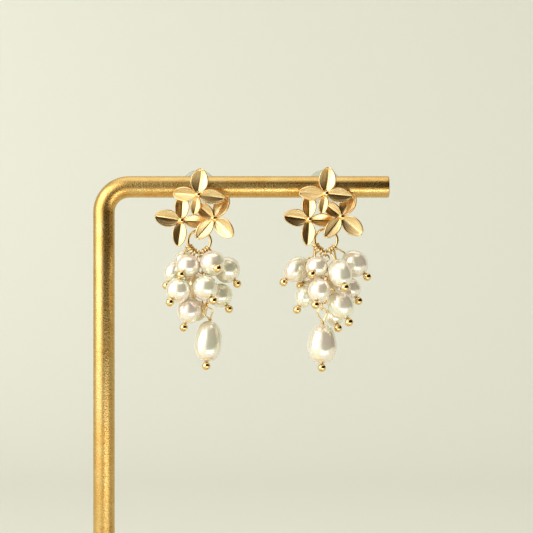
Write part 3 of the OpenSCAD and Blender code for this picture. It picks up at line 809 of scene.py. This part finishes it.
# Growth of the nacre: a smooth drilled body is moved out and in along its normals by a slow noise,
# and one dent is pressed in where the real pearl has one
def makePearlTree():
    tree, given = newTree("pearl skin", [
        ("waves", "Float", 0.1 * mm), ("waveLength", "Float", 3 * mm), ("seed", "Float", 0.0),
        ("dentAt", "Vector", (0, 0, 0)), ("dentWide", "Float", 1 * mm), ("dentDeep", "Float", 0.0),
        ("keep", "Float", 0.6 * mm)])
    spot = addNode(tree, "GeometryNodeInputPosition")
    scale = addNode(tree, "ShaderNodeMath", {0: 1.0, 1: given["waveLength"]}, operation="DIVIDE")
    noise = addNode(tree, "ShaderNodeTexNoise", {
        "Vector": spot, "W": given["seed"], "Scale": scale, "Detail": 1.0}, noise_dimensions="4D")
    wave = addNode(tree, "ShaderNodeMath", {0: noise, 1: 0.5}, operation="SUBTRACT")
    wave = addNode(tree, "ShaderNodeMath", {0: wave, 1: given["waves"]}, operation="MULTIPLY")
    reach = addNode(tree, "ShaderNodeVectorMath", {0: spot, 1: given["dentAt"]}, operation="DISTANCE")
    near = addNode(tree, "ShaderNodeMapRange", {
        "Value": reach.outputs["Value"], "From Min": given["dentWide"], "From Max": 0.0,
        "To Max": given["dentDeep"]}, interpolation_type="SMOOTHERSTEP")
    both = addNode(tree, "ShaderNodeMath", {0: wave, 1: near.outputs[0]}, operation="SUBTRACT")
    # the drill hole's edge stays where it is
    xyz = addNode(tree, "ShaderNodeSeparateXYZ", {0: spot})
    flat = addNode(tree, "ShaderNodeCombineXYZ", {0: xyz.outputs[0], 1: xyz.outputs[1], 2: 0.0})
    out = addNode(tree, "ShaderNodeVectorMath", {0: flat}, operation="LENGTH")
    free = addNode(tree, "ShaderNodeMapRange", {
        "Value": out.outputs["Value"], "From Min": given["keep"], "From Max": 0.0,
        "To Min": 1.0, "To Max": 0.0}, interpolation_type="SMOOTHSTEP")
    push = addNode(tree, "ShaderNodeMath", {0: both, 1: free.outputs[0]}, operation="MULTIPLY")
    normal = addNode(tree, "GeometryNodeInputNormal")
    offset = addNode(tree, "ShaderNodeVectorMath", {0: normal, "Scale": push}, operation="SCALE")
    grown = addNode(tree, "GeometryNodeSetPosition", {"Geometry": given["Geometry"], "Offset": offset})
    closeTree(tree, given, grown)
    return tree


# The skin's waves, and the dents of single pearls in the pearl's own directions, hole upright
pearlSkin = dict(waves=0.22, waveLength=3.4, keep=1.0, rings=36, steps=56, holeEdge=0.06)
noDent = dict(dentAt=(0, 0, 0), dentWide=0.01, dentDeep=0.0)
dents = dict(
    right3=dict(dentAt=(0.6, -2.6, 1.6), dentWide=1.1, dentDeep=0.28),
    right4=dict(dentAt=(1.4, -1.6, 1.8), dentWide=1.6, dentDeep=0.3),
)
# The pearls painted the deeper cream: painted shade in the heart of a drop
shadedInHeart = ("left10", "left11", "right11")


def pearlMesh(earring, row, name, tree, paint, taper=0, shoulder=1):
    bore, rim = wires["bore"] / 2, pearlSkin["holeEdge"]
    edge = asin(bore / row.radius)
    profile = []
    for i in range(pearlSkin["rings"] + 1):
        a = edge + (pi - 2 * edge) * i / pearlSkin["rings"]
        profile.append((row.radius * sin(a) ** shoulder * (1 - taper * cos(a)), row.half * cos(a)))
    high = profile[0][1]
    profile[0], profile[-1] = (bore + rim, high), (bore + rim, -high)
    profile = [(bore, high - rim)] + profile + [(bore, rim - high)]
    dent = dents.get(name, noDent)
    mesh = grow(tree, lathe("pearl", profile, pearlSkin["steps"], closed=True), paint,
                waves=pearlSkin["waves"] * mm, waveLength=pearlSkin["waveLength"] * mm,
                seed=float(sum(map(ord, name))), dentAt=tuple(Vector(dent["dentAt"]) * mm),
                dentWide=dent["dentWide"] * mm, dentDeep=dent["dentDeep"] * mm, keep=pearlSkin["keep"] * mm)
    way = -pinWay(row)
    turn = Matrix.Rotation(atan2(way.y, way.x), 4, "Z") @ Matrix.Rotation(acos(way.z), 4, "Y")
    return moved(mesh, onRing(earring, [row.at])[0], turn)


chainTree, pearlTree = makeChainTree(), makePearlTree()
for side, earring in earrings.items():
    label = side.capitalize()
    makeJumpRing(side, earring)
    makeChain(side, earring, chainTree)
    for number, row in enumerate(pearls[side], 1):
        makeHeadPin(side, earring, row, number)
        name = f"{side}{number}"
        paint = shadedNacrePaint if name in shadedInHeart else nacrePaint
        mesh = pearlMesh(earring, row, name, pearlTree, paint)
        addPiece(f"pearl{label}{number}", mesh, "drop_" + side, f"pearl_{side}_{number}")
    makeLongPin(side, earring, longPearls[side])
    mesh = pearlMesh(earring, longPearls[side], side + "Long", pearlTree, nacrePaint, longTaper[side],
                     longShoulder[side])
    addPiece("pearlLong" + label, mesh, "drop_" + side, "pearl_long_" + side)

print("studio")
# The picture is square and 0.24 mm to a pixel at the earrings; it is looked at level, from in front
view = dict(lens=150, sensor=36, across=127.9, centreX=6.12, centreZ=90.8, depth=-3.0, near=10, far=20000)


def makeCamera(sizes):
    data = bpy.data.cameras.new("camera")
    data.lens, data.sensor_width = sizes["lens"], sizes["sensor"]
    data.clip_start, data.clip_end = sizes["near"] * mm, sizes["far"] * mm
    camera = placed("camera", data)
    distance = sizes["across"] * sizes["lens"] / sizes["sensor"]
    camera.location = Vector((sizes["centreX"], sizes["depth"] - distance, sizes["centreZ"])) * mm
    camera.rotation_euler = (radians(90), 0, 0)
    scene.camera = camera


# A pale paper sweep: table, curve and wall in one
sweep = dict(front=-0.33, back=0.75, curve=0.35, high=1.6, wide=3.2, steps=24, colour="#ddddd4",
             roughness=0.9, shine=0.1)


def makeSweep(sizes):
    line = [(sizes["front"], 0.0), (sizes["back"] - sizes["curve"], 0.0)]
    for i in range(1, sizes["steps"] + 1):
        a = pi / 2 * i / sizes["steps"]
        line.append((sizes["back"] - sizes["curve"] * (1 - sin(a)), sizes["curve"] * (1 - cos(a))))
    line.append((sizes["back"], sizes["high"]))
    points = [(x * sizes["wide"] / 2, y, z) for y, z in line for x in (-1, 1)]
    faces = [(2 * i, 2 * i + 1, 2 * i + 3, 2 * i + 2) for i in range(len(line) - 1)]
    mesh = bpy.data.meshes.new("sweep")
    mesh.from_pydata(points, [], faces)
    mesh.shade_smooth()
    material, tree = startMaterial("matt cream paper")
    shader = addNode(tree, "ShaderNodeBsdfPrincipled", {
        "Base Color": hexColour(sizes["colour"]), "Roughness": sizes["roughness"],
        "Specular IOR Level": sizes["shine"]})
    finishMaterial(tree, shader)
    mesh.materials.append(material)
    placed("sweep", mesh)


# Place, aim, width and height, watts, colour, and how wide the light spreads in degrees; the wall's light
# and the table's glow stand for light that the paper throws back
lights = dict(
    window=dict(at=(-0.5, -0.33, 0.28), target=(0.0, 0.0, 0.09), wide=0.7, high=0.8, power=3.1,
                colour=(1.0, 0.99, 0.97)),
    skylight=dict(at=(0.0, 0.1, 1.0), target=(0.0, 0.0, 0.1), wide=1.0, high=1.0, power=1.6,
                  colour=(1.0, 0.99, 0.96)),
    wallLight=dict(at=(-0.4, 0.4, 0.36), target=(-0.27, 0.75, 0.16), wide=0.2, high=0.36, power=0.12,
                   colour=(1.0, 1.0, 0.98), spread=110),
    tableGlow=dict(at=(0.045, -0.11, 0.006), target=(0.0, 0.0, 0.09), wide=0.14, high=0.05, power=0.024,
                   colour=(1.0, 1.0, 0.98), spread=110),
)


def makeAreaLight(name, at, target, wide, high, power, colour, spread=180):
    data = bpy.data.lights.new(name, "AREA")
    data.shape, data.size, data.size_y = "RECTANGLE", wide, high
    data.energy, data.color, data.spread = power, colour, radians(spread)
    light = placed(name, data)
    light.visible_camera = False
    light.location = at
    light.rotation_euler = (Vector(target) - Vector(at)).to_track_quat("-Z", "Y").to_euler()


# The room as the metal and the pearls mirror it: pale all round, with a dark side towards the viewer.
# Angles are degrees to the right of the way to the viewer, and up.
room = dict(pale="#f4f4ea", dark="#362800", strength=0.85, darkLeft=-5, darkRight=118, darkLow=-18,
            darkHigh=58, soft=8)


def makeRoom(sizes):
    world = bpy.data.worlds.new("room")
    scene.world = world
    world.use_nodes = True
    tree = world.node_tree
    tree.nodes.clear()
    place = addNode(tree, "ShaderNodeTexCoord")
    way = addNode(tree, "ShaderNodeSeparateXYZ", {0: place.outputs["Generated"]})
    front = addNode(tree, "ShaderNodeMath", {0: way.outputs[1], 1: -1.0}, operation="MULTIPLY")
    azimuth = addNode(tree, "ShaderNodeMath", {0: way.outputs[0], 1: front}, operation="ARCTAN2")
    rise = addNode(tree, "ShaderNodeMath", {0: way.outputs[2]}, operation="ARCSINE")
    mask = None
    for angle, limit, sign in ((azimuth, sizes["darkLeft"], 1), (azimuth, sizes["darkRight"], -1),
                               (rise, sizes["darkLow"], 1), (rise, sizes["darkHigh"], -1)):
        edge = addNode(tree, "ShaderNodeMapRange", {
            "Value": angle, "From Min": radians(limit - sign * sizes["soft"]),
            "From Max": radians(limit + sign * sizes["soft"])}, interpolation_type="SMOOTHSTEP")
        mask = addNode(tree, "ShaderNodeMath", {0: mask, 1: edge}, operation="MULTIPLY") if mask else edge
    ray = addNode(tree, "ShaderNodeLightPath")
    mirrored = addNode(tree, "ShaderNodeMath", {
        0: mask, 1: ray.outputs["Is Glossy Ray"]}, operation="MULTIPLY")
    colour = addNode(tree, "ShaderNodeMix", {
        "Factor": mirrored, "A": hexColour(sizes["pale"]),
        "B": hexColour(sizes["dark"])}, data_type="RGBA")
    light = addNode(tree, "ShaderNodeBackground", {
        "Color": colour.outputs[2], "Strength": sizes["strength"]})
    addNode(tree, "ShaderNodeOutputWorld", {"Surface": light})


makeCamera(view)
makeSweep(sweep)
makeRoom(room)
for name, light in lights.items():
    makeAreaLight(name, **light)
# the photograph is printed with deep shadows
scene.view_settings.view_transform = "Standard"
scene.view_settings.look = "Medium High Contrast"
scene.view_settings.exposure = -0.15
